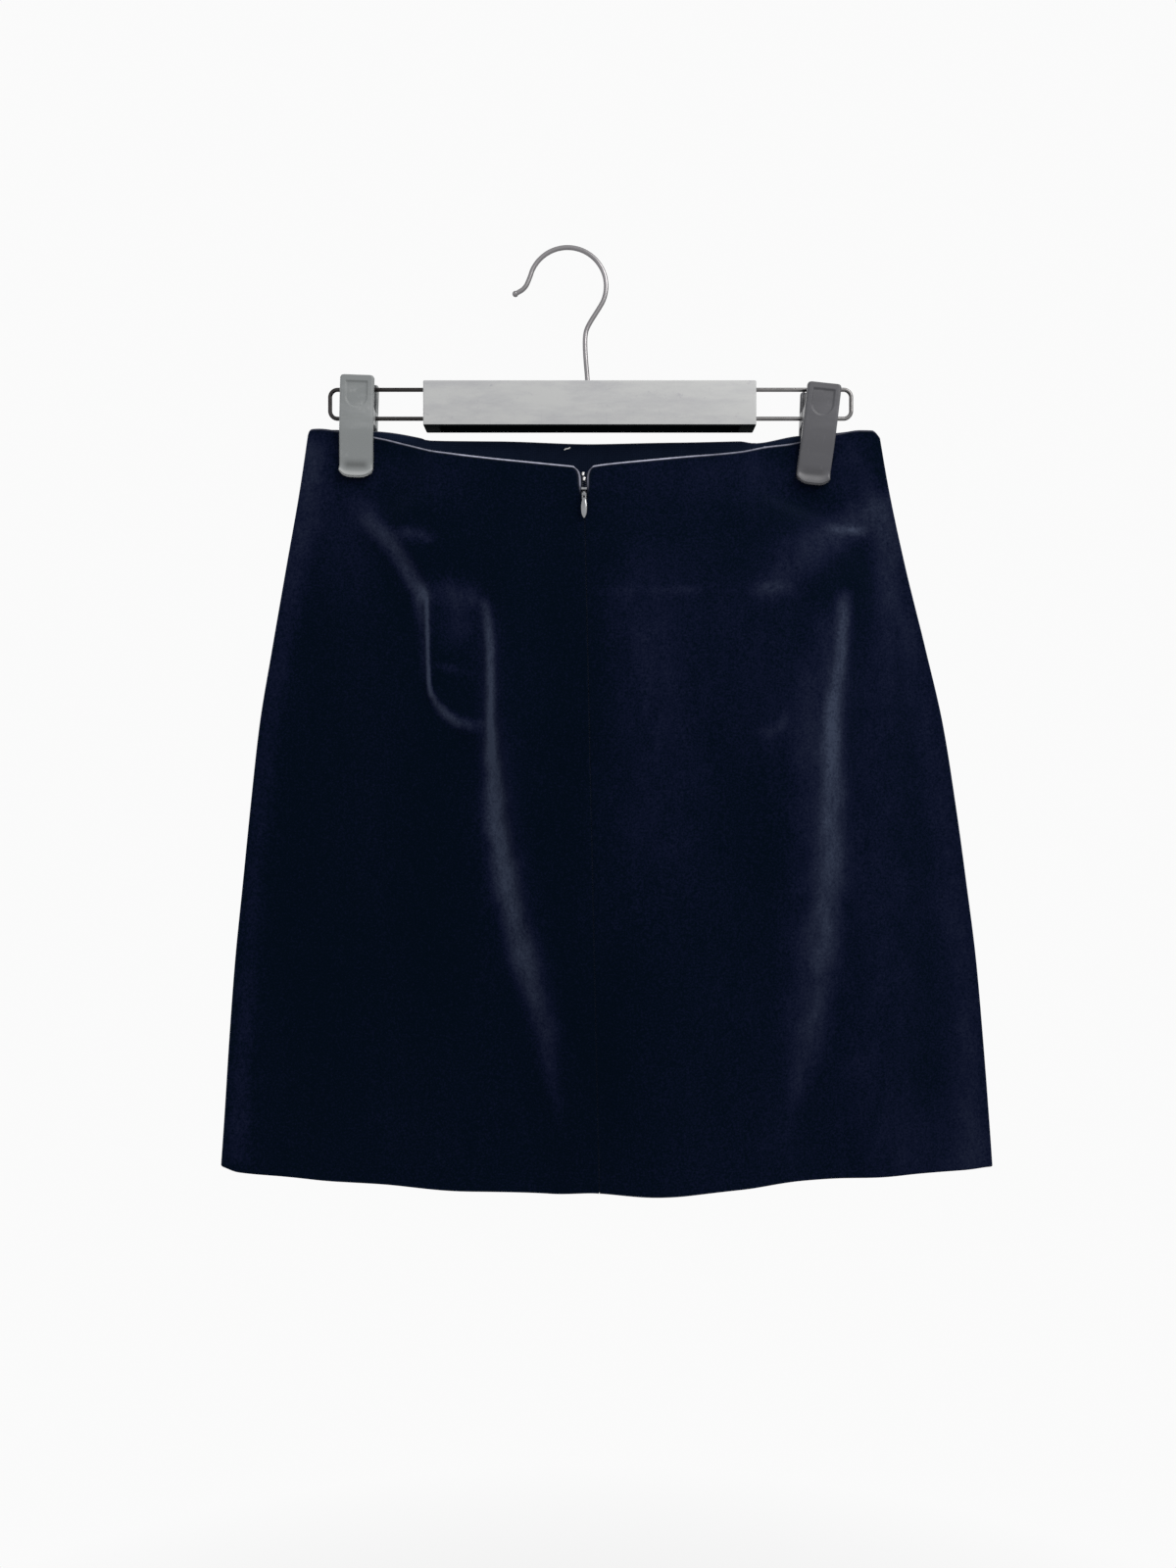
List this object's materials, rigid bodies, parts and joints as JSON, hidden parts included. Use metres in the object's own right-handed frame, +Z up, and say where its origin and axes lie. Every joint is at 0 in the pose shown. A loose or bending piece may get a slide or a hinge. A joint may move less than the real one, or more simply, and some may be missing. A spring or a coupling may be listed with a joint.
{
  "type": "velvet mini skirt on a clip hanger",
  "caption": "A-line velvet mini skirt with a clean-finished waist, back zip and darts, hanging by its waist from a clip hanger with a wire hook.",
  "frame": {"origin": "underside of the hook's crown, where a rail or peg carries the hanger", "axes": "+Z up, +X right as one looks at the zipped back of the skirt, +Y from the zipped back towards the front panel"},
  "size_m": [0.5037, 0.0512, 0.6146],
  "materials": {
    "velvet": "dark midnight-blue cotton velvet, matt in the folds with a cool sheen where it turns away",
    "zip_tape": "dark woven tape with a fine coil along its edge",
    "zip_metal": "grey metal, satin",
    "bar_plastic": "silver-grey moulded plastic, satin, faint scuffs",
    "clip_plastic": "mid grey moulded plastic, satin",
    "clip_plastic_dark": "darker grey moulded plastic, satin",
    "wire": "plated steel wire"
  },
  "bodies": {
    "skirt_on_hanger": {"front_panel": "velvet", "back_left_panel": "velvet", "back_right_panel": "velvet", "zip_tape_left": "zip_tape", "zip_tape_right": "zip_tape", "zip_slider": "zip_metal", "hanger_bar": "bar_plastic", "wire_left": "wire", "wire_right": "wire", "hanger_hook": "wire", "clip_left_front": "clip_plastic", "clip_left_back": "clip_plastic", "clip_left_spring": "wire", "clip_right_front": "clip_plastic_dark", "clip_right_back": "clip_plastic_dark", "clip_right_spring": "wire"},
    "pull_tab": {"zip_pull": "zip_metal"}
  },
  "joints": [
    {"name": "pull_tab_swing", "type": "hinge", "parent": "skirt_on_hanger", "child": "pull_tab", "pos_m": [0.0103, -0.0189, -0.164], "axis": [-1, 0, 0], "range_deg": [0, 170]}
  ]
}
